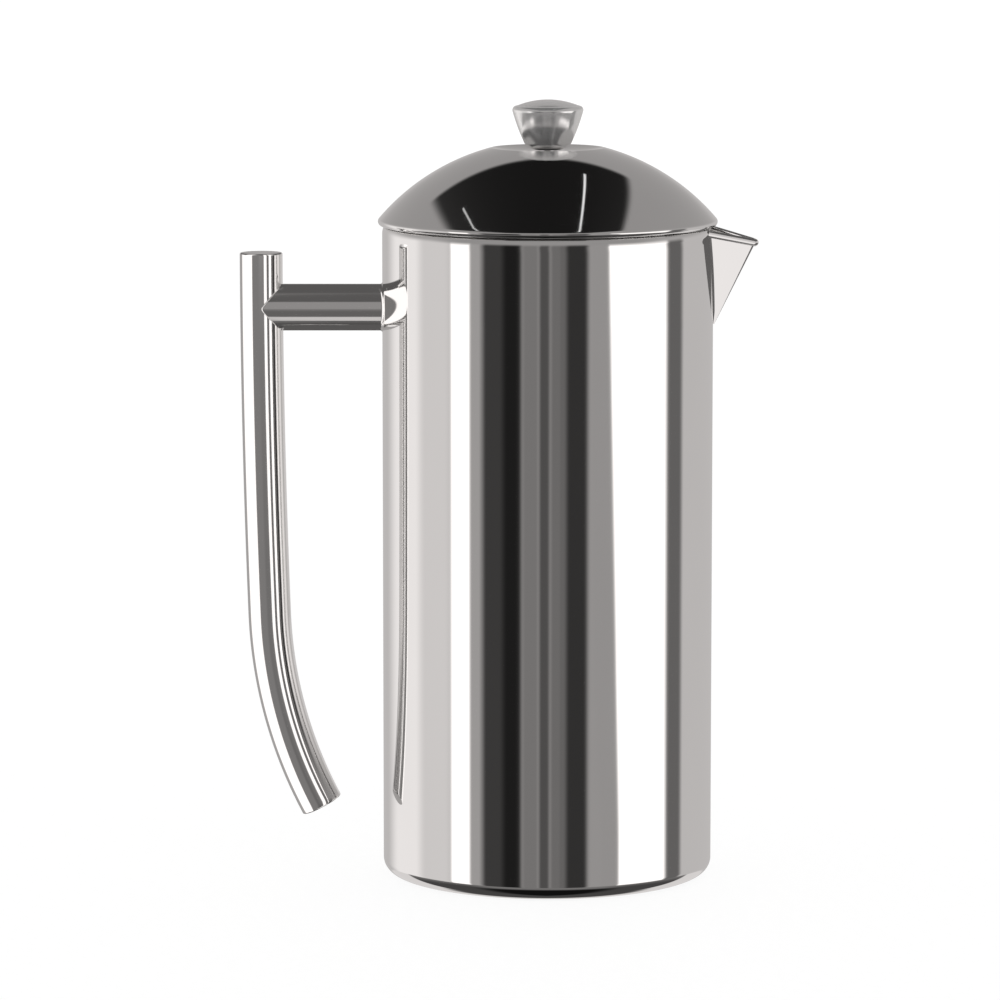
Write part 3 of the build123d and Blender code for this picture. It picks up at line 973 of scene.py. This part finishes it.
def tent(name, radius, grey_at, clear):
    """A sphere of light round the pot, seen only in reflections, with grey_at(bearing, elevation)."""
    middle = 0.12
    columns = 720
    elevations = [-90 + step for step in range(0, 66)]
    elevations += [-24 + 0.5 * step for step in range(0, 78)]
    elevations += [15 + step for step in range(0, 76)]
    points = []
    glows = []
    for elevation in elevations:
        level = math.cos(math.radians(elevation)) * radius
        for step in range(columns):
            bearing = -180 + 360 * step / columns
            x = level * math.sin(math.radians(bearing))
            y = -level * math.cos(math.radians(bearing))
            points.append((x, y, middle + radius * math.sin(math.radians(elevation))))
            glows.append(to_light(grey_at(bearing, elevation)))
    faces = []
    for i in range(len(elevations) - 1):
        for j in range(columns):
            k = (j + 1) % columns
            corners = (i * columns + j, i * columns + k, (i + 1) * columns + k, (i + 1) * columns + j)
            faces.append(corners)
    mesh = bpy.data.meshes.new(name)
    mesh.from_pydata(points, [], faces)
    glow = mesh.attributes.new("glow", "FLOAT", "POINT")
    glow.data.foreach_set("value", glows)
    made = bpy.data.objects.new(name, mesh)
    bpy.context.scene.collection.objects.link(made)
    mesh.materials.append(tent_light(name, clear))
    only_mirrored(made)
    return made


def tent_light(name, clear):
    """Light by the mesh's glow values. A clear tent also lets through what is behind it."""
    made = bpy.data.materials.new(name)
    made.use_nodes = True
    nodes, links = made.node_tree.nodes, made.node_tree.links
    nodes.remove(nodes["Principled BSDF"])
    value = nodes.new("ShaderNodeAttribute")
    value.attribute_name = "glow"
    light = nodes.new("ShaderNodeEmission")
    light.inputs["Color"].default_value = (1.0, 0.965, 0.955, 1)
    links.new(value.outputs["Fac"], light.inputs["Strength"])
    surface = light.outputs["Emission"]
    if clear:
        through = nodes.new("ShaderNodeBsdfTransparent")
        both = nodes.new("ShaderNodeAddShader")
        links.new(surface, both.inputs[0])
        links.new(through.outputs["BSDF"], both.inputs[1])
        surface = both.outputs["Shader"]
    links.new(surface, nodes["Material Output"].inputs["Surface"])
    made.cycles.emission_sampling = "NONE"
    return made


def ceiling_tube(name, route, width, grey):
    """A thin straight light under the ceiling. route is (x, y) points at one metre above the lid."""
    height = TUBE_HEIGHT
    bm = bmesh.new()
    rows = []
    for x, y in route:
        left = (x - width / 2) * height
        right = (x + width / 2) * height
        rows.append([(left, y * height, height + dome_high.z), (right, y * height, height + dome_high.z)])
    grid(bm, rows)
    tube = mesh_object(name, bm)
    made = bpy.data.materials.new(name)
    made.use_nodes = True
    nodes, links = made.node_tree.nodes, made.node_tree.links
    nodes.remove(nodes["Principled BSDF"])
    light = nodes.new("ShaderNodeEmission")
    light.inputs["Strength"].default_value = to_light(grey)
    links.new(light.outputs["Emission"], nodes["Material Output"].inputs["Surface"])
    made.cycles.emission_sampling = "NONE"
    tube.data.materials.append(made)
    only_mirrored(tube)


def only_mirrored(piece):
    """Hides a studio piece from everything but the reflections in the steel."""
    piece.visible_camera = False
    piece.visible_diffuse = False
    piece.visible_shadow = False
    piece.visible_transmission = False


def share_tents(body_tent, handle_tent, welded_pieces):
    """The handle and the spout mirror the handle tent, and everything else the other one."""
    own = bpy.data.collections.new("mirrors_handle_tent")
    others = bpy.data.collections.new("mirrors_body_tent")
    for piece in welded_pieces:
        own.objects.link(piece)
        others.objects.link(piece)
    for entry in others.collection_objects:
        entry.light_linking.link_state = "EXCLUDE"
    handle_tent.light_linking.receiver_collection = own
    body_tent.light_linking.receiver_collection = others


def studio_floor():
    bm = bmesh.new()
    grid(bm, [ring_of(r, -0.0002, 128) for r in (0.0, 0.2, 1.0, 4.0, 16.0)], close_columns=True)
    floor = mesh_object("studio_floor", bm)
    floor.data.materials.append(floor_material("studio_floor"))
    floor.visible_glossy = False
    return floor


def studio_world():
    world = bpy.data.worlds.new("studio")
    world.use_nodes = True
    background = world.node_tree.nodes["Background"]
    background.inputs["Color"].default_value = (1, 1, 1, 1)
    background.inputs["Strength"].default_value = 0.992
    bpy.context.scene.world = world


def studio_camera():
    data = bpy.data.cameras.new("camera")
    data.lens = 201.5
    data.sensor_width = 36
    data.clip_end = 100
    camera = bpy.data.objects.new("camera", data)
    bpy.context.scene.collection.objects.link(camera)
    camera.location = (-0.0147, -1.720, 0.341)
    camera.rotation_euler = (math.radians(90 - 7.44), 0, 0)
    bpy.context.scene.camera = camera


body_tent = tent("light_tent", 3.0, studio_grey, clear=False)
handle_tent = tent("handle_tent", 2.9, handle_grey, clear=True)
share_tents(body_tent, handle_tent, welded_pieces)
ceiling_tube("right_tube", [(0.25, -0.45), (0.205, 1.25)], 0.014, 235)
ceiling_tube("left_tube", [(-0.40, -0.32), (-0.52, -0.20), (-0.57, 0.0), (-0.61, 1.0)], 0.014, 200)
studio_floor()
studio_world()
studio_camera()
bpy.context.scene.view_settings.view_transform = "Standard"
